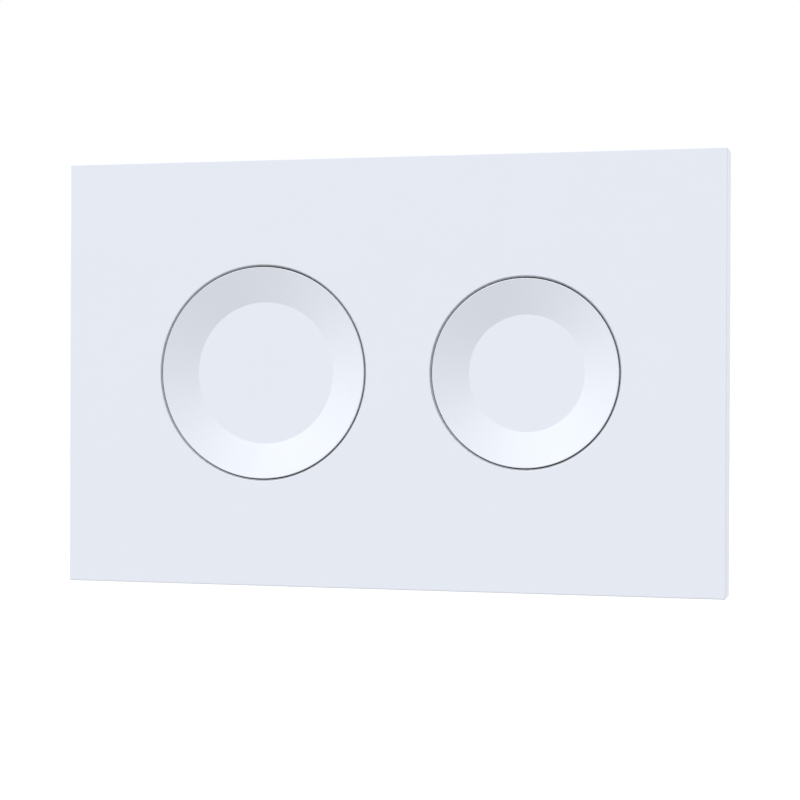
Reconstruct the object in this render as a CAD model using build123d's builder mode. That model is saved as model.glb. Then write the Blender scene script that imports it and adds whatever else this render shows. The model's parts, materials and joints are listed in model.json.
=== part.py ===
from build123d import *
import os
from math import cos, radians, sin

# A dual flush button plate for a cistern built into the wall: two sprung, dished buttons in a
# moulded plate that clips on a frame, which is bolted over the opening in the wall.
# Frame: the origin is the middle of the plate on the wall plane, +X is to the user's right,
# +Y goes into the wall and +Z is up, so the front face looks along -Y. Millimetres.

# Face plate
plate_depth = 12.0
side_margin = 37.65
end_margin = 39.7
plate_corner_radius = 0.5
front_edge_radius = 0.35
front_wall = 2.5
side_wall = 2.4
opening_edge_break = 0.2
rebate_width = 0.4
rebate_depth = 1.0
collar_wall = 1.8
collar_depth = 5.0
rib_thickness = 1.4
rib_depth = 3.0

# Buttons
button_spacing = 100.0
full_button_diameter = 79.3
half_button_diameter = 68.9
button_gap = 0.45
button_travel = 6.0
travel_clearance = 0.5
dish_depth = 3.8
dish_ring_width = 13.05
rim_edge_break = 0.2
button_wall = 2.2
skirt_wall = 2.0
skirt_depth = 8.5
button_rib_thickness = 1.4
button_rib_height = 2.0
rod_boss_radius = 7.0
rod_boss_height = 7.0
rod_socket_depth = 6.0

# Guide posts, three on each button, and what holds them in the carrier
post_radius = 3.6
post_inset = 12.0
post_count = 3
first_post_angle = 90.0
guide_clearance = 0.25
sleeve_wall = 1.6
sleeve_length = 10.0
buffer_thickness = 1.5
buffer_clearance = 0.1
washer_thickness = 1.0

# Return springs
spring_wire = 1.2
spring_mean_radius = 9.2
spring_wire_sides = 6
spring_turns = 4.5
spring_end_gap = 0.1
spring_side_clearance = 0.8

# Push rods and their locknuts
rod_radius = 4.0
rod_reach = 62.0
rod_end_clearance = 0.2
rod_thread_clearance = 0.1
rod_hole_clearance = 1.2
rod_end_chamfer = 0.8
rod_grip_width = 12.0
rod_grip_length = 6.0
rod_grip_gap = 8.0
locknut_width = 13.0
locknut_height = 3.5

# Button carrier and its screws
carrier_thickness = 2.5
carrier_rim = 4.5
carrier_side_inset = 2.7
carrier_corner_radius = 7.0
carrier_edge_wall = 1.8
carrier_edge_depth = 5.0
carrier_rib_thickness = 1.6
carrier_rib_depth = 4.0
web_thickness = 1.6
web_depth = 6.5
cup_wall = 1.6
cup_depth = 8.0
cup_floor = 2.0
boss_radius = 3.5
boss_gap = 2.4

# Self-tapping screws, for the carrier and for the posts
screw_radius = 1.45
screw_length = 9.0
screw_head_radius = 2.9
screw_head_height = 2.1
screw_bore_clearance = 0.05
screw_hole_clearance = 0.2
screw_head_clearance = 0.5
screw_tip_room = 1.0

# Mounting frame
frame_edge_gap = 2.5
frame_thickness = 2.5
frame_corner_radius = 5.0
frame_lip_wall = 1.6
frame_lip_height = 2.0
upstand_wall = 2.0
upstand_depth = 8.0
window_corner_radius = 6.0
lug_gap = 0.9
lug_height = 24.0
lug_thickness = 3.0
gusset_thickness = 2.0
gusset_depth = 4.0

# Clip hooks on the plate
hook_x = 42.0
hook_width = 10.0
hook_thickness = 1.8
hook_flex_room = 3.2
hook_clearance = 0.4
hook_nose = 1.8
hook_catch_depth = 3.0
hook_nose_length = 3.5
catch_play = 0.2
catch_side_play = 0.5

# Fixing bolts
bolt_radius = 3.0
bolt_reach = 70.0
bolt_neck_step = 0.2
bolt_neck_end_gap = 0.5
bolt_head_radius = 6.0
bolt_head_height = 4.0
bolt_head_chamfer = 0.6
bolt_head_gap = 2.2
bolt_frame_gap = 2.5
bolt_end_chamfer = 0.7
bolt_drive_width = 1.6
bolt_drive_depth = 1.8
bolt_slot_play = 0.3
bolt_slot_length = 10.0
fixing_washer_thickness = 1.2
washer_hole_clearance = 0.2

# Where the buttons sit: equal white margins left and right
full_opening_radius = full_button_diameter / 2 + button_gap
half_opening_radius = half_button_diameter / 2 + button_gap
layout_shift = (full_opening_radius - half_opening_radius) / 2
full_x = layout_shift - button_spacing / 2
half_x = layout_shift + button_spacing / 2
layout_half_width = half_x + half_opening_radius
bridge_x = (full_x + full_opening_radius + half_x - half_opening_radius) / 2
openings = [(full_x, full_opening_radius), (half_x, half_opening_radius)]

# Outer size of the plate, about 250 wide and 160 high
plate_width = 2 * (layout_half_width + side_margin)
plate_height = 2 * (full_opening_radius + end_margin)

# Levels from the front face back into the wall
front_y = -plate_depth
front_wall_back_y = front_y + front_wall
dish_y = front_y + dish_depth
dish_back_y = dish_y + button_wall
skirt_end_y = front_y + skirt_depth
button_rib_y = dish_back_y + button_rib_height
rod_boss_y = dish_back_y + rod_boss_height
carrier_y = skirt_end_y + button_travel + travel_clearance
carrier_back_y = carrier_y + carrier_thickness
cup_floor_y = carrier_y + cup_depth
sleeve_end_y = carrier_y + sleeve_length
post_end_y = sleeve_end_y + buffer_thickness
post_screw_seat_y = post_end_y + washer_thickness

# Carrier, hooks and frame, from the buttons outwards
boss_row_z = full_opening_radius + collar_wall + boss_gap + boss_radius
carrier_half_width = layout_half_width - carrier_side_inset
carrier_half_height = boss_row_z + boss_radius + carrier_rim
boss_column_x = carrier_half_width - carrier_rim - boss_radius
boss_columns = [-boss_column_x, bridge_x, boss_column_x]
boss_places = [(x, z) for x in boss_columns for z in (-boss_row_z, boss_row_z)]
hook_inner_z = carrier_half_height + hook_flex_room
hook_outer_z = hook_inner_z + hook_thickness
hook_end_y = hook_catch_depth + hook_nose_length
bolt_x = layout_half_width + collar_wall + bolt_head_gap + bolt_head_radius
window_width = 2 * (bolt_x + bolt_head_radius + bolt_frame_gap)
window_height = 2 * (hook_outer_z + hook_clearance)
frame_width = plate_width - 2 * (side_wall + frame_edge_gap)
frame_height = plate_height - 2 * (side_wall + frame_edge_gap)
lug_inner_x = layout_half_width + lug_gap
lug_back_y = lug_thickness - frame_thickness
bolt_neck_radius = bolt_radius + bolt_neck_step
spring_outer_radius = spring_mean_radius + spring_wire / 2
cup_radius = spring_outer_radius + spring_side_clearance


def at_depth(y):
    """Sketch plane at depth y, seen from the front: local x is +X and local y is +Z."""
    return Plane.XZ.offset(-y)


def radial_plane(centre_x, angle):
    """Plane through a button's axis: local x runs outwards at this angle, local y is +Y."""
    outwards = Vector(cos(radians(angle)), 0, sin(radians(angle)))
    return Plane(origin=(centre_x, 0, 0), x_dir=outwards, z_dir=outwards.cross(Vector(0, 1, 0)))


def button_axis(centre_x):
    return Axis((centre_x, 0, 0), (0, 1, 0))


def post_points(centre_x, diameter):
    """Where a button's guide posts stand, on a circle set in from its edge."""
    circle_radius = diameter / 2 - post_inset
    angles = [radians(first_post_angle + index * 360 / post_count) for index in range(post_count)]
    return [(centre_x + circle_radius * cos(a), circle_radius * sin(a)) for a in angles]


def finish(piece, name):
    piece.part.label = name
    export_step(piece.part, f"parts/{name}.step")


os.makedirs("parts", exist_ok=True)

# Face plate: a moulded tray, ribbed behind, with a guide collar round each opening
with BuildPart() as face_plate:
    with BuildSketch(at_depth(front_y)):
        RectangleRounded(plate_width, plate_height, plate_corner_radius)
    extrude(amount=-plate_depth)
    fillet(face_plate.faces().sort_by(Axis.Y)[0].edges(), front_edge_radius)
    with BuildSketch(at_depth(0)):
        Rectangle(plate_width - 2 * side_wall, plate_height - 2 * side_wall)
    extrude(amount=plate_depth - front_wall, mode=Mode.SUBTRACT)
    # Ribs along the rows and columns of screw bosses
    with BuildSketch(at_depth(front_wall_back_y)):
        with Locations((0, -boss_row_z), (0, boss_row_z)):
            Rectangle(plate_width - side_wall, rib_thickness)
        with Locations(*[(x, 0) for x in boss_columns]):
            Rectangle(rib_thickness, plate_height - side_wall)
    extrude(amount=-rib_depth)
    with BuildSketch(at_depth(front_wall_back_y)):
        for opening_x, opening_radius in openings:
            with Locations((opening_x, 0)):
                Circle(opening_radius + collar_wall)
    extrude(amount=-collar_depth)
    with BuildSketch(at_depth(front_wall_back_y)):
        with Locations(*boss_places):
            Circle(boss_radius)
    extrude(amount=-(carrier_y - front_wall_back_y))
    with BuildSketch(at_depth(carrier_y)):
        with Locations(*boss_places):
            Circle(screw_radius + screw_bore_clearance)
    extrude(amount=screw_length - carrier_thickness + screw_tip_room, mode=Mode.SUBTRACT)
    with BuildSketch(at_depth(front_y)):
        for opening_x, opening_radius in openings:
            with Locations((opening_x, 0)):
                Circle(opening_radius)
    extrude(amount=-(front_wall + collar_depth), mode=Mode.SUBTRACT)
    # A shallow rebate round each opening, in front of the collar that the button runs in
    with BuildSketch(at_depth(front_y)):
        for opening_x, opening_radius in openings:
            with Locations((opening_x, 0)):
                Circle(opening_radius + rebate_width)
    extrude(amount=-rebate_depth, mode=Mode.SUBTRACT)
    opening_edges = face_plate.edges().filter_by(GeomType.CIRCLE).group_by(Axis.Y)[0]
    chamfer(opening_edges.sort_by(SortBy.LENGTH)[-len(openings):], opening_edge_break)
    # Clip hooks, top and bottom
    with BuildSketch(at_depth(front_wall_back_y)):
        with GridLocations(2 * hook_x, hook_inner_z + hook_outer_z, 2, 2):
            Rectangle(hook_width, hook_thickness)
    extrude(amount=-(hook_end_y - front_wall_back_y))
    for side in (-1, 1):
        for x in (-hook_x, hook_x):
            with BuildSketch(Plane.YZ.offset(x - hook_width / 2)):
                with BuildLine():
                    Polyline(
                        (hook_catch_depth, side * (hook_outer_z + hook_nose)),
                        (hook_end_y, side * hook_outer_z),
                        (hook_end_y, side * hook_inner_z),
                        (hook_catch_depth, side * hook_inner_z),
                        close=True,
                    )
                make_face()
            extrude(amount=hook_width)
finish(face_plate, "face_plate")

# Button carrier: a plate behind the buttons with a cup for each spring and a sleeve for each post
with BuildPart() as button_carrier:
    carrier_outline = (2 * carrier_half_width, 2 * carrier_half_height)
    with BuildSketch(at_depth(carrier_y)):
        RectangleRounded(*carrier_outline, carrier_corner_radius)
    extrude(amount=-carrier_thickness)
    with BuildSketch(at_depth(carrier_y)):
        RectangleRounded(*carrier_outline, carrier_corner_radius)
        offset(amount=-carrier_edge_wall, mode=Mode.SUBTRACT)
    extrude(amount=-carrier_edge_depth)
    # Ribs between the cups and the edge, in line with the screws
    with BuildSketch(at_depth(carrier_back_y)):
        Rectangle(2 * carrier_half_width - carrier_edge_wall, carrier_rib_thickness)
        with Locations((full_x, 0), (bridge_x, 0), (half_x, 0)):
            Rectangle(carrier_rib_thickness, 2 * carrier_half_height - carrier_edge_wall)
    extrude(amount=-(carrier_rib_depth - carrier_thickness))
    for centre_x, diameter in ((full_x, full_button_diameter), (half_x, half_button_diameter)):
        with BuildSketch(at_depth(carrier_y)):
            with Locations((centre_x, 0)):
                Circle(cup_radius + cup_wall)
        extrude(amount=-(cup_depth + cup_floor))
        with BuildSketch(at_depth(carrier_y)):
            with Locations(*post_points(centre_x, diameter)):
                Circle(post_radius + guide_clearance + sleeve_wall)
        extrude(amount=-sleeve_length)
        # Webs from the cup to its sleeves
        post_circle_radius = diameter / 2 - post_inset
        with BuildSketch(at_depth(carrier_y)):
            with Locations((centre_x, 0)):
                with PolarLocations(post_circle_radius / 2, post_count, first_post_angle):
                    Rectangle(post_circle_radius, web_thickness)
        extrude(amount=-web_depth)
        with BuildSketch(at_depth(carrier_y)):
            with Locations((centre_x, 0)):
                Circle(cup_radius)
        extrude(amount=-cup_depth, mode=Mode.SUBTRACT)
        with BuildSketch(at_depth(carrier_y)):
            with Locations((centre_x, 0)):
                Circle(rod_radius + rod_hole_clearance)
            with Locations(*post_points(centre_x, diameter)):
                Circle(post_radius + guide_clearance)
        extrude(amount=-(cup_depth + cup_floor + sleeve_length), mode=Mode.SUBTRACT)
    with BuildSketch(at_depth(carrier_y)):
        with Locations(*boss_places):
            Circle(screw_radius + screw_hole_clearance)
    extrude(amount=-carrier_thickness, mode=Mode.SUBTRACT)
    with BuildSketch(at_depth(carrier_back_y)):
        with Locations(*boss_places):
            Circle(screw_head_radius + screw_head_clearance)
    extrude(amount=-carrier_rib_depth, mode=Mode.SUBTRACT)
finish(button_carrier, "button_carrier")

# Mounting frame: a flange on the tiles, an upstand into the wall opening and two slotted lugs
with BuildPart() as mounting_frame:
    with BuildSketch(at_depth(0)):
        RectangleRounded(frame_width, frame_height, frame_corner_radius)
        RectangleRounded(window_width, window_height, window_corner_radius, mode=Mode.SUBTRACT)
    extrude(amount=frame_thickness)
    with BuildSketch(at_depth(0)):
        RectangleRounded(frame_width, frame_height, frame_corner_radius)
        offset(amount=-frame_lip_wall, mode=Mode.SUBTRACT)
    extrude(amount=frame_thickness + frame_lip_height)
    with BuildSketch(at_depth(-frame_thickness)):
        RectangleRounded(window_width, window_height, window_corner_radius)
        offset(amount=upstand_wall)
        RectangleRounded(window_width, window_height, window_corner_radius, mode=Mode.SUBTRACT)
    extrude(amount=-(frame_thickness + upstand_depth))
    lug_outer_x = window_width / 2 + upstand_wall / 2
    lug_middle_x = (lug_inner_x + lug_outer_x) / 2
    with BuildSketch(at_depth(-frame_thickness)):
        with Locations((-lug_middle_x, 0), (lug_middle_x, 0)):
            Rectangle(lug_outer_x - lug_inner_x, lug_height)
    extrude(amount=-lug_thickness)
    with BuildSketch(at_depth(-frame_thickness)):
        with GridLocations(2 * lug_middle_x, lug_height - gusset_thickness, 2, 2):
            Rectangle(lug_outer_x - lug_inner_x, gusset_thickness)
    extrude(amount=-(lug_thickness + gusset_depth))
    with BuildSketch(at_depth(-frame_thickness)):
        with Locations((-bolt_x, 0), (bolt_x, 0)):
            SlotOverall(bolt_slot_length, 2 * (bolt_neck_radius + bolt_slot_play))
    extrude(amount=-lug_thickness, mode=Mode.SUBTRACT)
    # Windows in the upstand, where the clip hooks catch
    with BuildSketch(Plane.XY):
        with Locations((-hook_x, hook_catch_depth), (hook_x, hook_catch_depth)):
            with Locations((0, hook_nose_length / 2)):
                Rectangle(hook_width + 2 * catch_side_play, hook_nose_length + 2 * catch_play)
    extrude(amount=window_height, both=True, mode=Mode.SUBTRACT)
finish(mounting_frame, "mounting_frame")


def make_screws(name, places, seat_y):
    """Pan-head screws driven from behind, their heads on the plane at seat_y."""
    with BuildPart() as screws:
        with BuildSketch(at_depth(seat_y)):
            with Locations(*places):
                Circle(screw_radius)
        extrude(amount=screw_length)
        with BuildSketch(at_depth(seat_y)):
            with Locations(*places):
                Circle(screw_head_radius)
        extrude(amount=-screw_head_height)
    finish(screws, name)


make_screws("carrier_screws", boss_places, carrier_back_y)


def make_button(name, centre_x, diameter):
    """A dished cap with a skirt, a socket for the push rod and three guide posts."""
    radius = diameter / 2
    flat_radius = radius - dish_ring_width
    inner_radius = radius - skirt_wall
    slope = dish_depth / (dish_ring_width - rim_edge_break)
    cone_back_y = dish_back_y - slope * (inner_radius - flat_radius)
    post_circle_radius = radius - post_inset
    # The posts start inside the wall of the dish, between its front and its back
    post_back_y = dish_back_y - slope * (post_circle_radius + post_radius - flat_radius)
    post_root_y = (dish_y + post_back_y) / 2
    ring_radius = cup_radius
    with BuildPart() as button:
        with BuildSketch(radial_plane(centre_x, 0)):
            with BuildLine():
                Polyline(
                    (0, dish_y),
                    (flat_radius, dish_y),
                    (radius - rim_edge_break, front_y),
                    (radius, front_y + rim_edge_break),
                    (radius, skirt_end_y),
                    (inner_radius, skirt_end_y),
                    (inner_radius, cone_back_y),
                    (flat_radius, dish_back_y),
                    (0, dish_back_y),
                    close=True,
                )
            make_face()
        revolve(axis=button_axis(centre_x))
        # Ribs from the spring's ring to the skirt
        with BuildSketch(at_depth(dish_y + button_wall / 2)):
            with Locations((centre_x, 0)):
                Circle(ring_radius + button_rib_thickness)
                Circle(ring_radius, mode=Mode.SUBTRACT)
        extrude(amount=-(button_rib_y - dish_y - button_wall / 2))
        for index in range(2 * post_count):
            angle = first_post_angle + index * 180 / post_count
            with BuildSketch(radial_plane(centre_x, angle)):
                with BuildLine():
                    Polyline(
                        (ring_radius + button_rib_thickness / 2, button_rib_y),
                        (ring_radius + button_rib_thickness / 2, dish_y + button_wall / 2),
                        (flat_radius, dish_y + button_wall / 2),
                        (inner_radius + skirt_wall / 2, cone_back_y - button_wall / 2),
                        (inner_radius + skirt_wall / 2, button_rib_y),
                        close=True,
                    )
                make_face()
            extrude(amount=button_rib_thickness / 2, both=True)
        with BuildSketch(at_depth(dish_y + button_wall / 2)):
            with Locations((centre_x, 0)):
                Circle(rod_boss_radius)
        extrude(amount=-(rod_boss_y - dish_y - button_wall / 2))
        with BuildSketch(at_depth(rod_boss_y)):
            with Locations((centre_x, 0)):
                Circle(rod_radius + rod_thread_clearance)
        extrude(amount=rod_socket_depth, mode=Mode.SUBTRACT)
        with BuildSketch(at_depth(post_root_y)):
            with Locations(*post_points(centre_x, diameter)):
                Circle(post_radius)
        extrude(amount=-(post_end_y - post_root_y))
        with BuildSketch(at_depth(post_end_y)):
            with Locations(*post_points(centre_x, diameter)):
                Circle(screw_radius + screw_bore_clearance)
        extrude(amount=screw_length - washer_thickness + screw_tip_room, mode=Mode.SUBTRACT)
    finish(button, name)


def make_spring(name, centre_x):
    """A compression spring round the rod's boss, from the back of the dish to the cup's floor."""
    start_y = dish_back_y + spring_end_gap + spring_wire / 2
    height = cup_floor_y - spring_end_gap - spring_wire / 2 - start_y
    with BuildPart() as spring:
        with BuildLine():
            coil = Helix(
                height / spring_turns, height, spring_mean_radius, (centre_x, start_y, 0), (0, 1, 0)
            )
        with BuildSketch(Plane(origin=coil @ 0, z_dir=coil % 0)):
            RegularPolygon(spring_wire / 2, spring_wire_sides)
        sweep(path=coil, is_frenet=True)
    finish(spring, name)


def make_push_rod(name, centre_x):
    """A threaded rod in the button's boss, with a hexagonal grip for setting its length."""
    start_y = rod_boss_y - rod_socket_depth + rod_end_clearance
    grip_y = cup_floor_y + cup_floor + rod_grip_gap
    with BuildPart() as rod:
        with BuildSketch(at_depth(start_y)):
            with Locations((centre_x, 0)):
                Circle(rod_radius)
        extrude(amount=-(rod_reach - start_y))
        chamfer(rod.edges().filter_by(GeomType.CIRCLE), rod_end_chamfer)
        with BuildSketch(at_depth(grip_y)):
            with Locations((centre_x, 0)):
                RegularPolygon(rod_grip_width / 2, 6, major_radius=False)
        extrude(amount=-rod_grip_length)
    finish(rod, name)


def make_locknut(name, centre_x):
    with BuildPart() as locknut:
        with BuildSketch(at_depth(rod_boss_y)):
            with Locations((centre_x, 0)):
                RegularPolygon(locknut_width / 2, 6, major_radius=False)
                Circle(rod_radius + rod_thread_clearance, mode=Mode.SUBTRACT)
        extrude(amount=-locknut_height)
    finish(locknut, name)


def make_post_rings(name, centre_x, diameter, front, thickness, inner_radius):
    """Three rings of the sleeves' outer size, one on each post."""
    with BuildPart() as rings:
        with BuildSketch(at_depth(front)):
            with Locations(*post_points(centre_x, diameter)):
                Circle(post_radius + guide_clearance + sleeve_wall)
                Circle(inner_radius, mode=Mode.SUBTRACT)
        extrude(amount=-thickness)
    finish(rings, name)


for flush, centre_x, diameter in (
    ("full_flush", full_x, full_button_diameter),
    ("half_flush", half_x, half_button_diameter),
):
    buffer_bore = post_radius + buffer_clearance
    washer_bore = screw_radius + screw_hole_clearance
    make_button(f"{flush}_button", centre_x, diameter)
    make_spring(f"{flush}_spring", centre_x)
    make_push_rod(f"{flush}_push_rod", centre_x)
    make_locknut(f"{flush}_rod_locknut", centre_x)
    make_post_rings(
        f"{flush}_stop_buffers", centre_x, diameter, sleeve_end_y, buffer_thickness, buffer_bore
    )
    make_post_rings(
        f"{flush}_post_washers", centre_x, diameter, post_end_y, washer_thickness, washer_bore
    )
    make_screws(f"{flush}_post_screws", post_points(centre_x, diameter), post_screw_seat_y)

# Fixing bolts, each on a broad washer, with a plain neck through the slotted lug
for side, bolt_side_x in (("left", -bolt_x), ("right", bolt_x)):
    washer_y = -frame_thickness - fixing_washer_thickness
    head_y = washer_y - bolt_head_height
    with BuildPart() as fixing_bolt:
        with BuildSketch(at_depth(head_y)):
            with Locations((bolt_side_x, 0)):
                Circle(bolt_head_radius)
        extrude(amount=-bolt_head_height)
        chamfer(fixing_bolt.edges().group_by(Axis.Y)[0], bolt_head_chamfer)
        with BuildSketch(at_depth(washer_y)):
            with Locations((bolt_side_x, 0)):
                Circle(bolt_radius)
        extrude(amount=-(bolt_reach - washer_y))
        chamfer(fixing_bolt.edges().group_by(Axis.Y)[-1], bolt_end_chamfer)
        with BuildSketch(at_depth(washer_y)):
            with Locations((bolt_side_x, 0)):
                Circle(bolt_neck_radius)
        extrude(amount=-(lug_back_y + bolt_neck_end_gap - washer_y))
        with BuildSketch(at_depth(head_y)):
            with Locations((bolt_side_x, 0)):
                Rectangle(2 * bolt_head_radius, bolt_drive_width)
        extrude(amount=-bolt_drive_depth, mode=Mode.SUBTRACT)
    finish(fixing_bolt, f"fixing_bolt_{side}")
    with BuildPart() as fixing_washer:
        with BuildSketch(at_depth(washer_y)):
            with Locations((bolt_side_x, 0)):
                Circle(bolt_head_radius)
                Circle(bolt_neck_radius + washer_hole_clearance, mode=Mode.SUBTRACT)
        extrude(amount=-fixing_washer_thickness)
    finish(fixing_washer, f"fixing_washer_{side}")
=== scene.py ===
import json
from math import ceil, cos, pi, radians, sin, tan

import bmesh
import bpy
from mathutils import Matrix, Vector


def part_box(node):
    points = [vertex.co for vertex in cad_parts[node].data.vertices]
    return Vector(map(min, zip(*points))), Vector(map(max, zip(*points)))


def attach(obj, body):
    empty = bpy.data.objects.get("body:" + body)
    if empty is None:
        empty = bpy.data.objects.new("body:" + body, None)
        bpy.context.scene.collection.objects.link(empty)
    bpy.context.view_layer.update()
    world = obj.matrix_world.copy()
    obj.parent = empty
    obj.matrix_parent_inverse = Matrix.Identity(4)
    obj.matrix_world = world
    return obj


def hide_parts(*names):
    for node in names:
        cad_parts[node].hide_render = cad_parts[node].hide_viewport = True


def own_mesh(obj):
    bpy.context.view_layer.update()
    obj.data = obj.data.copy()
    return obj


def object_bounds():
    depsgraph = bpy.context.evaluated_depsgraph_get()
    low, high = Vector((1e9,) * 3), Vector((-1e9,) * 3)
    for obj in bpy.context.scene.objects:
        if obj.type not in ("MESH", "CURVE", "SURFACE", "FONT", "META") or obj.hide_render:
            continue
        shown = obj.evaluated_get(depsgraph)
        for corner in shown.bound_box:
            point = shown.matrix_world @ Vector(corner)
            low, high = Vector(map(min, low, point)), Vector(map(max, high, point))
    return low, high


# A dual flush button plate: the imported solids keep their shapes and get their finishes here, and the
# springs, rods, bolts, screws, nuts, washers and buffers are modelled in full over their plain solids.
# Metres, in the part's own frame: +X right, +Y into the wall, +Z up, the front face looks along -Y.
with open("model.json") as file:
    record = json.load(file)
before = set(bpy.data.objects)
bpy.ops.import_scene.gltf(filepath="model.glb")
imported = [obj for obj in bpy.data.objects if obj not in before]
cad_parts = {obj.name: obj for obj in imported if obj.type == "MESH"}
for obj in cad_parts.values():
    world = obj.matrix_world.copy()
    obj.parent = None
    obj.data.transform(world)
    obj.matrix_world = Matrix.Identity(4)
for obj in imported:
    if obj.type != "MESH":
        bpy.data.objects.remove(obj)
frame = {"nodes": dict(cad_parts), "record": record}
cad_box = [list(corner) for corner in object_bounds()]

MM = 0.001
FLUSHES = ("full_flush", "half_flush")
SIDES = ("left", "right")
SCREW_HEAD_HEIGHT = 2.1 * MM

# Camera: a long lens, level with the plate and to its right
LENS_MM = 89.15
SENSOR_MM = 36.0
CAMERA_PLACE = (0.1917, -0.7166, -0.0081)
CAMERA_TURN_DEG = (89.856, -0.25, 14.757)

# Light: a soft key from the upper left, an even surround, and a rim from behind on the right.
# The levels are shares of the light that shows a colour as it is written.
KEY_LEVEL = 0.75
KEY_TILT_DEG = 55.0
KEY_CLOCK_DEG = 117.5
KEY_SOFTNESS_DEG = 25.0
RIM_LEVEL = 0.45
RIM_FROM = (0.95, 0.30, 0.10)
RIM_SOFTNESS_DEG = 30.0
SURROUND_LEVEL = 0.57

# Floor: a wide disc below the part, shown pale and returning no more light than the surround
FLOOR_DROP = 0.14
FLOOR_RADIUS = 6.0
FLOOR_SEGMENTS = 96
FLOOR_SEEN = 0.92
FLOOR_BOUNCE = 0.518

# Finishes, by the record's slots: linear colours, and grain and edges at their real size
PLASTICS = {
    "white_abs": dict(
        colour=(0.755, 0.787, 0.861), mottle=0.004, roughness=0.65,
        grain_size=0.25 * MM, grain_depth=0.0015 * MM, edge_radius=0.12 * MM,
    ),
    "grey_acetal": dict(
        colour=(0.44, 0.443, 0.45), mottle=0.03, roughness=0.5,
        grain_size=0.35 * MM, grain_depth=0.004 * MM, edge_radius=0.15 * MM,
    ),
    "black_polypropylene": dict(
        colour=(0.028, 0.029, 0.031), mottle=0.12, roughness=0.45,
        grain_size=0.45 * MM, grain_depth=0.010 * MM, edge_radius=0.25 * MM,
    ),
    "blue_acetal": dict(
        colour=(0.035, 0.16, 0.46), mottle=0.06, roughness=0.34,
        grain_size=0.30 * MM, grain_depth=0.004 * MM, edge_radius=0.15 * MM,
    ),
    "natural_nylon": dict(
        colour=(0.74, 0.70, 0.58), mottle=0.05, roughness=0.38,
        grain_size=0.30 * MM, grain_depth=0.004 * MM, edge_radius=0.15 * MM,
    ),
    "black_rubber": dict(
        colour=(0.022, 0.022, 0.023), mottle=0.2, roughness=0.72,
        grain_size=0.20 * MM, grain_depth=0.010 * MM, edge_radius=0.2 * MM,
    ),
}
METALS = {
    "zinc_steel": dict(
        colour=(0.66, 0.67, 0.68), roughness=0.30, mark_size=0.12 * MM, mark_depth=0.003 * MM,
    ),
    "spring_steel": dict(
        colour=(0.52, 0.52, 0.53), roughness=0.26, mark_size=0.18 * MM, mark_depth=0.004 * MM,
    ),
}


# Shader helpers

def new_material(slot):
    """A material named after the record's slot, with its node tree and its shader."""
    material = bpy.data.materials.new(f"{slot}_finish")
    material.use_nodes = True
    tree = material.node_tree
    return material, tree, tree.nodes["Principled BSDF"]


def noise(tree, size, detail):
    """Noise in the piece's own space, with features about this many metres across."""
    place = tree.nodes.new("ShaderNodeTexCoord")
    texture = tree.nodes.new("ShaderNodeTexNoise")
    texture.inputs["Scale"].default_value = 1.0 / size
    texture.inputs["Detail"].default_value = detail
    tree.links.new(place.outputs["Object"], texture.inputs["Vector"])
    return texture.outputs["Fac"]


def spread(tree, value, low, high):
    """Maps the range that most of a noise lies in to low and high."""
    usual_low, usual_high = 0.3, 0.7
    node = tree.nodes.new("ShaderNodeMapRange")
    node.inputs["From Min"].default_value = usual_low
    node.inputs["From Max"].default_value = usual_high
    node.inputs["To Min"].default_value = low
    node.inputs["To Max"].default_value = high
    tree.links.new(value, node.inputs["Value"])
    return node.outputs["Result"]


def spread_round(tree, value, middle, change):
    """Maps a noise to values up to this share below and above the middle."""
    return spread(tree, value, middle * (1 - change), middle * (1 + change))


def blend_colours(tree, share, first, second):
    """The first colour where the share is 0, the second where it is 1."""
    first_socket, second_socket, result_socket = 6, 7, 2
    node = tree.nodes.new("ShaderNodeMix")
    node.data_type = "RGBA"
    node.inputs[first_socket].default_value = (*first, 1.0)
    node.inputs[second_socket].default_value = (*second, 1.0)
    tree.links.new(share, node.inputs["Factor"])
    return node.outputs[result_socket]


def patches(tree, size, detail, colour, darkening):
    """A colour with soft patches that are darker by this share."""
    darker = tuple(channel * (1 - darkening) for channel in colour)
    share = spread(tree, noise(tree, size, detail), 0, 1)
    return blend_colours(tree, share, darker, colour)


def soft_edges(tree, radius):
    """The surface's direction, rounded over sharp edges by this radius."""
    node = tree.nodes.new("ShaderNodeBevel")
    node.samples = 4
    node.inputs["Radius"].default_value = radius
    return node.outputs["Normal"]


def bump(tree, height, depth, normal=None):
    """The surface's direction with a relief of this depth, over another direction or the mesh's own."""
    node = tree.nodes.new("ShaderNodeBump")
    node.inputs["Distance"].default_value = depth
    tree.links.new(height, node.inputs["Height"])
    if normal is not None:
        tree.links.new(normal, node.inputs["Normal"])
    return node.outputs["Normal"]


def moulded_plastic(slot, colour, mottle, roughness, grain_size, grain_depth, edge_radius):
    """Injection moulded plastic: a faint mottle, spark-eroded grain and soft edges."""
    cloud_size = 30 * MM
    sheen_size = 9 * MM
    sheen_change = 0.08
    material, tree, shader = new_material(slot)
    tint = patches(tree, cloud_size, 3.0, colour, mottle)
    tree.links.new(tint, shader.inputs["Base Color"])
    sheen = noise(tree, sheen_size, 2.0)
    tree.links.new(spread_round(tree, sheen, roughness, sheen_change), shader.inputs["Roughness"])
    grain = noise(tree, grain_size, 1.0)
    rounded = soft_edges(tree, edge_radius)
    tree.links.new(bump(tree, grain, grain_depth, rounded), shader.inputs["Normal"])
    return material


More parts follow.
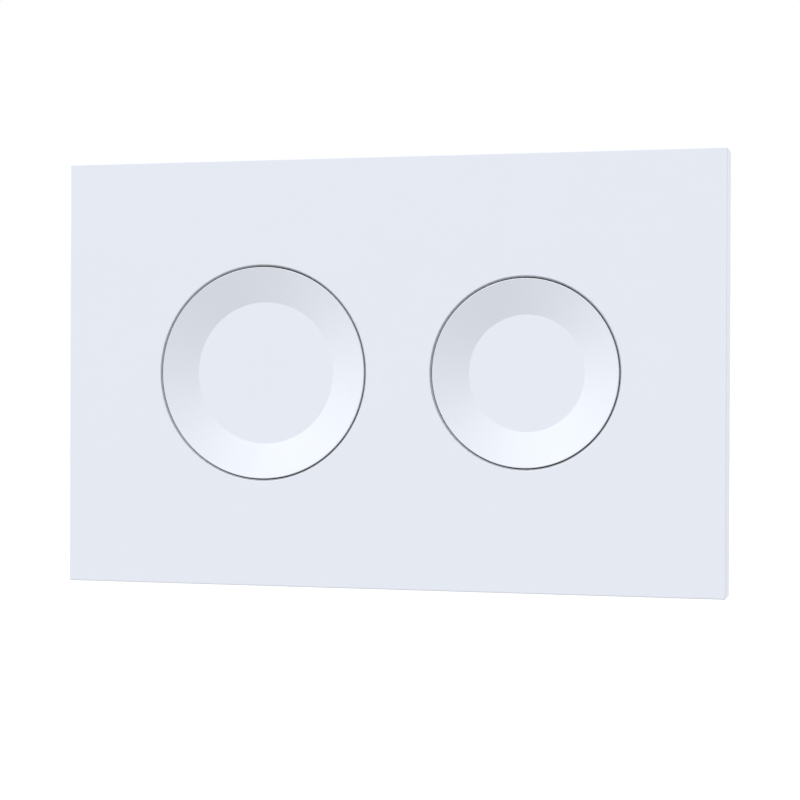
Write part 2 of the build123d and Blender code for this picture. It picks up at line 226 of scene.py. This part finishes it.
def plated_metal(slot, colour, roughness, mark_size, mark_depth):
    """Metal with patchy plating and fine working marks."""
    patch_size = 3 * MM
    patch_darkening = 0.18
    sheen_size = 1.2 * MM
    sheen_change = 0.3
    material, tree, shader = new_material(slot)
    shader.inputs["Metallic"].default_value = 1.0
    tint = patches(tree, patch_size, 4.0, colour, patch_darkening)
    tree.links.new(tint, shader.inputs["Base Color"])
    sheen = noise(tree, sheen_size, 3.0)
    tree.links.new(spread_round(tree, sheen, roughness, sheen_change), shader.inputs["Roughness"])
    marks = noise(tree, mark_size, 2.0)
    tree.links.new(bump(tree, marks, mark_depth), shader.inputs["Normal"])
    return material


def make_milky(material):
    """Lets light a little way into the plastic, the red furthest."""
    shader = material.node_tree.nodes["Principled BSDF"]
    shader.inputs["Subsurface Weight"].default_value = 0.12
    shader.inputs["Subsurface Radius"].default_value = (1.0, 0.8, 0.5)
    shader.inputs["Subsurface Scale"].default_value = 0.4 * MM


MATERIALS = {slot: moulded_plastic(slot, **look) for slot, look in PLASTICS.items()}
MATERIALS.update({slot: plated_metal(slot, **look) for slot, look in METALS.items()})
make_milky(MATERIALS["natural_nylon"])
NODE_SLOTS = {row["node"]: row["material_slot"] for row in frame["record"]["subparts"]}
BODY_OF = {
    node: body for body, nodes in frame["record"]["behaviour"]["bodies"].items() for node in nodes
}


def dress_solid(node):
    """Gives a solid that keeps its shape the finish of its slot."""
    for material_slot in frame["nodes"][node].material_slots:
        material_slot.material = MATERIALS[NODE_SLOTS[node]]


# Mesh helpers: every turned, hexagonal, threaded or coiled form is a skin over rings of points

def join_loops(mesh, near, far):
    """Faces between two loops. One may have a whole multiple of the other's points."""
    count = min(len(near), len(far))
    near_step, far_step = len(near) // count, len(far) // count
    for index in range(count):
        first = [near[(index * near_step + step) % len(near)] for step in range(near_step + 1)]
        second = [far[(index * far_step + step) % len(far)] for step in range(far_step + 1)]
        mesh.faces.new(first + second[::-1])


def skin(mesh, rings, closed=False):
    """Faces from each ring of points to the next, and back to the first or with a cap on each end."""
    loops = [[mesh.verts.new(point) for point in points] for points in rings]
    pairs = list(zip(loops, loops[1:]))
    if closed:
        pairs.append((loops[-1], loops[0]))
    for near, far in pairs:
        join_loops(mesh, near, far)
    if not closed:
        mesh.faces.new(loops[0])
        mesh.faces.new(loops[-1])


def circle_angles(count):
    """Angles evenly round a circle."""
    return [2 * pi * index / count for index in range(count)]


def ring(axis, y, radius, count):
    """A ring of points round an axis along +Y. Radius and y may be functions of the angle."""
    points = []
    for angle in circle_angles(count):
        reach = radius(angle) if callable(radius) else radius
        depth = y(angle) if callable(y) else y
        points.append((axis[0] + reach * cos(angle), depth, axis[1] + reach * sin(angle)))
    return points


def turned_rings(axis, profile, count):
    """Rings for a turned form, from a profile of radius and y."""
    return [ring(axis, y, radius, count) for radius, y in profile]


def rounded_section(inner, outer, front, back, corner):
    """The section of a ring with four rounded corners, as radius and y."""
    steps = 4
    corners = (
        (outer - corner, front + corner, -90),
        (outer - corner, back - corner, 0),
        (inner + corner, back - corner, 90),
        (inner + corner, front + corner, 180),
    )
    section = []
    for radius, y, start in corners:
        for step in range(steps + 1):
            angle = radians(start + 90 * step / steps)
            section.append((radius + corner * cos(angle), y + corner * sin(angle)))
    return section


def thread_rings(axis, start, end, crest, depth, pitch, runout, count, rows_per_pitch):
    """A thread with flat crests and sloping flanks, which runs out at both ends."""
    root_from = 0.85
    flank_share = 0.6
    rows = ceil((end - start) / pitch * rows_per_pitch)
    rings = []
    for row in range(rows + 1):
        y = start + (end - start) * row / rows
        fade = min(1.0, (y - start) / runout, (end - y) / runout)

        def radius(angle, y=y, fade=fade):
            phase = ((y / pitch) - angle / (2 * pi)) % 1.0
            from_crest = abs(phase - 0.5) * 2
            height = min(1.0, max(0.0, (root_from - from_crest) / flank_share))
            return crest - depth * (1 - height * max(0.0, fade))

        rings.append(ring(axis, y, radius, count))
    return rings


def hexagon_rings(axis, width, front, back, count):
    """A hexagonal prism with corners on the X axis, chamfered on both faces."""
    face_share = 0.96
    chamfer_slope = tan(radians(30))
    face_radius = width / 2 * face_share

    def reach(angle):
        return width / 2 / cos(angle % (pi / 3) - pi / 6)

    def depth(angle):
        return (reach(angle) - face_radius) * chamfer_slope

    return [
        ring(axis, front, face_radius, count),
        ring(axis, lambda angle: front + depth(angle), reach, count),
        ring(axis, lambda angle: back - depth(angle), reach, count),
        ring(axis, back, face_radius, count),
    ]


def mesh_data(mesh, name):
    """The finished data of a working mesh, which is freed."""
    data = bpy.data.meshes.new(name)
    mesh.to_mesh(data)
    mesh.free()
    return data


def place_object(name, data):
    """An object of this data in the scene."""
    made = bpy.data.objects.new(name, data)
    bpy.context.scene.collection.objects.link(made)
    return made


def add_piece(mesh, name, slot, body, sharp_deg=35.0):
    """Turns a mesh into a piece in a slot's finish, which rides on a body."""
    weld = 1e-8
    bmesh.ops.remove_doubles(mesh, verts=mesh.verts, dist=weld)
    bmesh.ops.recalc_face_normals(mesh, faces=mesh.faces)
    data = mesh_data(mesh, name)
    data.shade_smooth()
    data.set_sharp_from_angle(angle=radians(sharp_deg))
    data.materials.append(MATERIALS[slot])
    piece = place_object(name, data)
    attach(piece, body)
    return piece


def stand_for(node, mesh, name, sharp_deg=35.0):
    """Turns a mesh into the piece that stands for a solid, in its finish and on its body."""
    piece = add_piece(mesh, name, NODE_SLOTS[node], BODY_OF[node], sharp_deg)
    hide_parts(node)
    return piece


def loose_object(mesh, name):
    """A mesh as an object of its own, to cut or to cut with."""
    bmesh.ops.recalc_face_normals(mesh, faces=mesh.faces)
    made = place_object(name, mesh_data(mesh, name))
    bpy.context.view_layer.update()
    return made


def subtract(piece, cutter):
    """Cuts one mesh out of another and removes the cutter."""
    cut = piece.modifiers.new("cut", "BOOLEAN")
    cut.object = cutter
    cut.solver = "EXACT"
    graph = bpy.context.evaluated_depsgraph_get()
    result = bpy.data.meshes.new_from_object(piece.evaluated_get(graph))
    piece.modifiers.clear()
    piece.data = result
    bpy.data.objects.remove(cutter)


def box_rings(centre, half, y0, y1, narrowing=1.0):
    """Two rectangular rings, the second one narrowed, for a slot that tapers as it gets deeper."""
    rings = []
    for y, scale in ((y0, 1.0), (y1, narrowing)):
        rings.append(
            [
                (centre[0] + sx * half[0] * scale, y, centre[1] + sz * half[1] * scale)
                for sx, sz in ((-1, -1), (1, -1), (1, 1), (-1, 1))
            ]
        )
    return rings


def axis_of(node):
    """The (x, z) of the middle of a node that stands along Y."""
    low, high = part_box(node)
    return ((low.x + high.x) / 2, (low.z + high.z) / 2)


def axes_of(node):
    """The (x, z) of each solid in a node of like solids that stand along Y, well apart."""
    widest = 13 * MM
    groups = []
    for vertex in frame["nodes"][node].data.vertices:
        place = Vector((vertex.co.x, vertex.co.z))
        near = [group for group in groups if (group[0] - place).length < widest]
        if near:
            near[0].append(place)
        else:
            groups.append([place])
    centres = []
    for group in groups:
        xs = [place.x for place in group]
        zs = [place.y for place in group]
        centres.append(((min(xs) + max(xs)) / 2, (min(zs) + max(zs)) / 2))
    return centres


# Pieces

def make_spring(flush):
    """A compression spring with closed, ground ends."""
    wire = 1.2 * MM
    end_turns = 0.75
    active_turns = 4.0
    steps_per_turn = 48
    sides = 14
    ground_share = 0.35
    node = f"{flush}_spring"
    low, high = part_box(node)
    axis = axis_of(node)
    coil_radius = (high.x - low.x) / 2 - wire / 2
    first = low.y + wire * (0.5 - ground_share / 2)
    last = high.y - wire * (0.5 - ground_share / 2)
    end_rise = end_turns * wire
    active_rise = last - first - 2 * end_rise
    turns = active_turns + 2 * end_turns

    def height(turn):
        if turn < end_turns:
            return first + turn * wire
        if turn > turns - end_turns:
            return last - (turns - turn) * wire
        return first + end_rise + active_rise * (turn - end_turns) / active_turns

    rings = []
    for step in range(round(turns * steps_per_turn) + 1):
        turn = step / steps_per_turn
        angle = 2 * pi * turn
        outward = Vector((cos(angle), 0, sin(angle)))
        centre = Vector((axis[0], height(turn), axis[1])) + outward * coil_radius
        loop = []
        for side in circle_angles(sides):
            point = centre + wire / 2 * (cos(side) * outward + sin(side) * Vector((0, 1, 0)))
            point.y = min(max(point.y, low.y), high.y)
            loop.append(point)
        rings.append(loop)
    mesh = bmesh.new()
    skin(mesh, rings)
    piece = stand_for(node, mesh, f"{node}_coil", sharp_deg=60.0)
    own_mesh(piece)


def make_push_rod(flush):
    """A threaded rod with a hexagonal grip, grooves where it may be trimmed, and a rounded tip."""
    radius = 4.0 * MM
    pitch = 1.25 * MM
    thread_depth = 0.75 * MM
    grip_width = 12.0 * MM
    grip_length = 6.0 * MM
    grip_gap = 8.0 * MM
    grip_root = 0.5 * MM
    groove_step = 5.0 * MM
    groove_width = 1.2 * MM
    groove_depth = 0.55 * MM
    tip = 0.8 * MM
    tip_share = 0.3
    count = 48
    node = f"{flush}_push_rod"
    low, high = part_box(node)
    axis = axis_of(node)
    grip_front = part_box("button_carrier")[1].y + grip_gap
    grip_back = grip_front + grip_length
    rings = thread_rings(
        axis, low.y, grip_front, radius, thread_depth, pitch,
        runout=pitch, count=count, rows_per_pitch=10,
    )
    rings += hexagon_rings(axis, grip_width, grip_front, grip_back, count)
    shank = [(radius + grip_root, grip_back), (radius, grip_back + grip_root)]
    for index in range(1, int((high.y - grip_back) / groove_step)):
        y = grip_back + index * groove_step
        shank.append((radius, y - groove_width / 2))
        shank.append((radius - groove_depth, y - groove_width / 4))
        shank.append((radius - groove_depth, y + groove_width / 4))
        shank.append((radius, y + groove_width / 2))
    shank.append((radius, high.y - tip))
    shank.append((radius - tip_share * tip, high.y - tip_share * tip))
    shank.append((radius - tip, high.y))
    mesh = bmesh.new()
    skin(mesh, rings + turned_rings(axis, shank, count))
    stand_for(node, mesh, f"{node}_threaded")


def make_locknut(flush):
    """A hexagonal nut, chamfered on both faces, with a threaded bore."""
    pitch = 1.25 * MM
    bore = 4.1 * MM
    countersink = 0.5 * MM
    runout = 0.3 * MM
    count = 72
    node = f"{flush}_rod_locknut"
    low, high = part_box(node)
    axis = axis_of(node)
    mouth = bore + countersink
    rings = [ring(axis, low.y, mouth, count)]
    rings += hexagon_rings(axis, high.z - low.z, low.y, high.y, count)
    rings.append(ring(axis, high.y, mouth, count))
    bore_thread = thread_rings(
        axis, low.y + countersink, high.y - countersink, mouth, countersink, pitch,
        runout=runout, count=count, rows_per_pitch=12,
    )
    mesh = bmesh.new()
    skin(mesh, rings + bore_thread[::-1], closed=True)
    stand_for(node, mesh, f"{node}_hexagon")


def make_rings(node, bore, corner):
    """Rounded rings, one for each solid of the node."""
    count = 64
    low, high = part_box(node)
    centres = axes_of(node)
    outer = high.x - max(centre[0] for centre in centres)
    section = rounded_section(bore, outer, low.y, high.y, corner)
    mesh = bmesh.new()
    for axis in centres:
        skin(mesh, turned_rings(axis, section, count), closed=True)
    stand_for(node, mesh, f"{node}_rounded")


def make_gap_shade_ring(flush):
    """A slim grey ring in the rebate of the plate round the button: painted shade, a grey piece that
    darkens the gap line.
    """
    running_gap = 0.45 * MM
    rebate_width = 0.4 * MM
    rebate_depth = 1.0 * MM
    recess = 0.5 * MM
    side_play = 0.03 * MM
    edge_radius = 0.06 * MM
    count = 192
    node = f"{flush}_button"
    low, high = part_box(node)
    inner = (high.x - low.x) / 2 + running_gap
    outer = inner + rebate_width - side_play
    section = rounded_section(inner, outer, low.y + recess, low.y + rebate_depth, edge_radius)
    mesh = bmesh.new()
    skin(mesh, turned_rings(axis_of(node), section, count), closed=True)
    add_piece(mesh, f"{flush}_gap_shade_ring", "grey_acetal", BODY_OF["face_plate"])


def screw_template():
    """A pan-head self-tapping screw with a cross recess, its seat at y = 0 and its head towards +Y."""
    head_radius = 2.9 * MM
    head_rim = 0.8 * MM
    shank_radius = 1.45 * MM
    length = 9.0 * MM
    tip_radius = 0.2 * MM
    tip_length = 1.0 * MM
    plain_length = 0.5 * MM
    pitch = 1.3 * MM
    thread_depth = 0.4 * MM
    recess_reach = 1.55 * MM
    recess_half_width = 0.38 * MM
    recess_depth = 1.3 * MM
    recess_overcut = 0.3 * MM
    recess_narrowing = 0.62
    shank_count = 24
    head_count = 48
    dome_degrees = (0, 20, 40, 60, 75, 86)
    axis = (0, 0)
    rings = [ring(axis, -length, tip_radius, shank_count)]
    rings += thread_rings(
        axis, tip_length - length, -plain_length, shank_radius, thread_depth, pitch,
        runout=pitch / 2, count=shank_count, rows_per_pitch=8,
    )
    rings.append(ring(axis, 0.0, shank_radius, shank_count))
    rings.append(ring(axis, 0.0, head_radius, head_count))
    for angle in dome_degrees:
        rise = (SCREW_HEAD_HEIGHT - head_rim) * sin(radians(angle))
        rings.append(ring(axis, head_rim + rise, head_radius * cos(radians(angle)), head_count))
    mesh = bmesh.new()
    skin(mesh, rings)
    screw = loose_object(mesh, "screw_template")
    above, floor = SCREW_HEAD_HEIGHT + recess_overcut, SCREW_HEAD_HEIGHT - recess_depth
    for half in ((recess_reach, recess_half_width), (recess_half_width, recess_reach)):
        cutter = bmesh.new()
        skin(cutter, box_rings(axis, half, above, floor, recess_narrowing))
        subtract(screw, loose_object(cutter, "recess_cutter"))
    return screw


def make_screws(node, template):
    """A screw for each solid of the node, each turned by its own angle."""
    turn_step = radians(67)
    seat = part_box(node)[1].y - SCREW_HEAD_HEIGHT
    mesh = bmesh.new()
    for index, axis in enumerate(axes_of(node)):
        angle = index * turn_step
        before = len(mesh.verts)
        mesh.from_mesh(template.data)
        mesh.verts.ensure_lookup_table()
        for vertex in mesh.verts[before:]:
            x, y, z = vertex.co
            vertex.co.x = axis[0] + x * cos(angle) - z * sin(angle)
            vertex.co.z = axis[1] + x * sin(angle) + z * cos(angle)
            vertex.co.y = y + seat
    stand_for(node, mesh, f"{node}_cross_head")


def make_fixing_bolt(side):
    """A moulded bolt: a knurled, slotted head, a plain neck through the lug and a long thread."""
    pitch = 1.5 * MM
    thread_depth = 0.85 * MM
    thread_radius = 3.0 * MM
    neck_radius = 3.2 * MM
    neck_end = 1.0 * MM
    neck_edge = 0.2 * MM
    head_height = 4.0 * MM
    front_edge = 0.6 * MM
    back_edge = 0.3 * MM
    knurls = 32
    knurl_depth = 0.25 * MM
    slot_width = 1.6 * MM
    slot_depth = 1.8 * MM
    slot_overrun = 1.2
    head_count = 128
    shank_count = 32
    node = f"fixing_bolt_{side}"
    low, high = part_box(node)
    axis = axis_of(node)
    head_radius = (high.x - low.x) / 2
    seat = low.y + head_height

    def knurled(angle):
        return head_radius - knurl_depth * (0.5 - 0.5 * cos(knurls * angle))

    rings = [
        ring(axis, low.y, head_radius - front_edge, head_count),
        ring(axis, low.y + front_edge, knurled, head_count),
        ring(axis, seat - back_edge, knurled, head_count),
        ring(axis, seat, head_radius - knurl_depth - back_edge, head_count),
        ring(axis, seat, neck_radius, shank_count),
        ring(axis, neck_end - neck_edge, neck_radius, shank_count),
        ring(axis, neck_end, thread_radius, shank_count),
    ]
    rings += thread_rings(
        axis, neck_end + neck_edge, high.y, thread_radius, thread_depth, pitch,
        runout=pitch, count=shank_count, rows_per_pitch=8,
    )
    mesh = bmesh.new()
    skin(mesh, rings)
    bolt = loose_object(mesh, "bolt_blank")
    cutter = bmesh.new()
    slot_half = (head_radius * slot_overrun, slot_width / 2)
    skin(cutter, box_rings(axis, slot_half, low.y - slot_depth, low.y + slot_depth))
    subtract(bolt, loose_object(cutter, "slot_cutter"))
    mesh = bmesh.new()
    mesh.from_mesh(bolt.data)
    bpy.data.objects.remove(bolt)
    stand_for(node, mesh, f"{node}_threaded")


for node in ("face_plate", "button_carrier", "mounting_frame"):
    dress_solid(node)
screw = screw_template()
make_screws("carrier_screws", screw)
for flush in FLUSHES:
    dress_solid(f"{flush}_button")
    # painted shade: a grey ring in the gap round each button darkens the gap line
    make_gap_shade_ring(flush)
    make_spring(flush)
    make_push_rod(flush)
    make_locknut(flush)
    make_screws(f"{flush}_post_screws", screw)
    make_rings(f"{flush}_post_washers", bore=1.65 * MM, corner=0.15 * MM)
    make_rings(f"{flush}_stop_buffers", bore=3.7 * MM, corner=0.45 * MM)
for side in SIDES:
    make_fixing_bolt(side)
    make_rings(f"fixing_washer_{side}", bore=3.4 * MM, corner=0.2 * MM)
bpy.data.objects.remove(screw)


# Stage, light and camera

def seen_directly(tree):
    """1 for rays that show the surroundings: from the camera, mirrored or passed through."""
    rays = tree.nodes.new("ShaderNodeLightPath")
    total = rays.outputs["Is Camera Ray"]
    for kind in ("Is Glossy Ray", "Is Transmission Ray"):
        either = tree.nodes.new("ShaderNodeMath")
        either.operation = "MAXIMUM"
        tree.links.new(total, either.inputs[0])
        tree.links.new(rays.outputs[kind], either.inputs[1])
        total = either.outputs["Value"]
    return total


def make_world():
    """An even white surround, which lights the part at its own level."""
    world = bpy.data.worlds.new("surround")
    world.use_nodes = True
    tree = world.node_tree
    background = tree.nodes["Background"]
    background.inputs["Color"].default_value = (1, 1, 1, 1)
    level = tree.nodes.new("ShaderNodeMapRange")
    level.inputs["To Min"].default_value = SURROUND_LEVEL
    level.inputs["To Max"].default_value = 1.0
    tree.links.new(seen_directly(tree), level.inputs["Value"])
    tree.links.new(level.outputs["Result"], background.inputs["Strength"])
    bpy.context.scene.world = world


def make_floor():
    """A pale matt floor, which takes the part's shadow."""
    material, tree, shader = new_material("pale_floor")
    colour = blend_colours(tree, seen_directly(tree), (FLOOR_BOUNCE,) * 3, (FLOOR_SEEN,) * 3)
    tree.links.new(colour, shader.inputs["Base Color"])
    shader.inputs["Roughness"].default_value = 1.0
    shader.inputs["Specular IOR Level"].default_value = 0.0
    mesh = bmesh.new()
    bmesh.ops.create_circle(mesh, cap_ends=True, radius=FLOOR_RADIUS, segments=FLOOR_SEGMENTS)
    data = mesh_data(mesh, "floor")
    data.materials.append(material)
    floor = place_object("floor", data)
    floor.location.z = cad_box[0][2] - FLOOR_DROP


def make_sun(name, towards, level, softness_deg):
    """A soft lamp in the direction towards. At level 1 it shows a facing colour as it is written."""
    data = bpy.data.lights.new(name, "SUN")
    data.energy = pi * level
    data.angle = radians(softness_deg)
    lamp = place_object(name, data)
    lamp.rotation_mode = "QUATERNION"
    lamp.rotation_quaternion = Vector(towards).to_track_quat("Z", "Y")


def make_camera():
    """The photograph's camera."""
    data = bpy.data.cameras.new("photo_camera")
    data.lens = LENS_MM
    data.sensor_width = SENSOR_MM
    camera = place_object("photo_camera", data)
    camera.location = CAMERA_PLACE
    camera.rotation_euler = [radians(turn) for turn in CAMERA_TURN_DEG]
    bpy.context.scene.camera = camera


tilt, clock = radians(KEY_TILT_DEG), radians(KEY_CLOCK_DEG)
key_from = (sin(tilt) * cos(clock), -cos(tilt), sin(tilt) * sin(clock))
make_world()
make_floor()
make_sun("key", key_from, KEY_LEVEL, KEY_SOFTNESS_DEG)
make_sun("rim", RIM_FROM, RIM_LEVEL, RIM_SOFTNESS_DEG)
make_camera()
bpy.context.scene.view_settings.view_transform = "Standard"
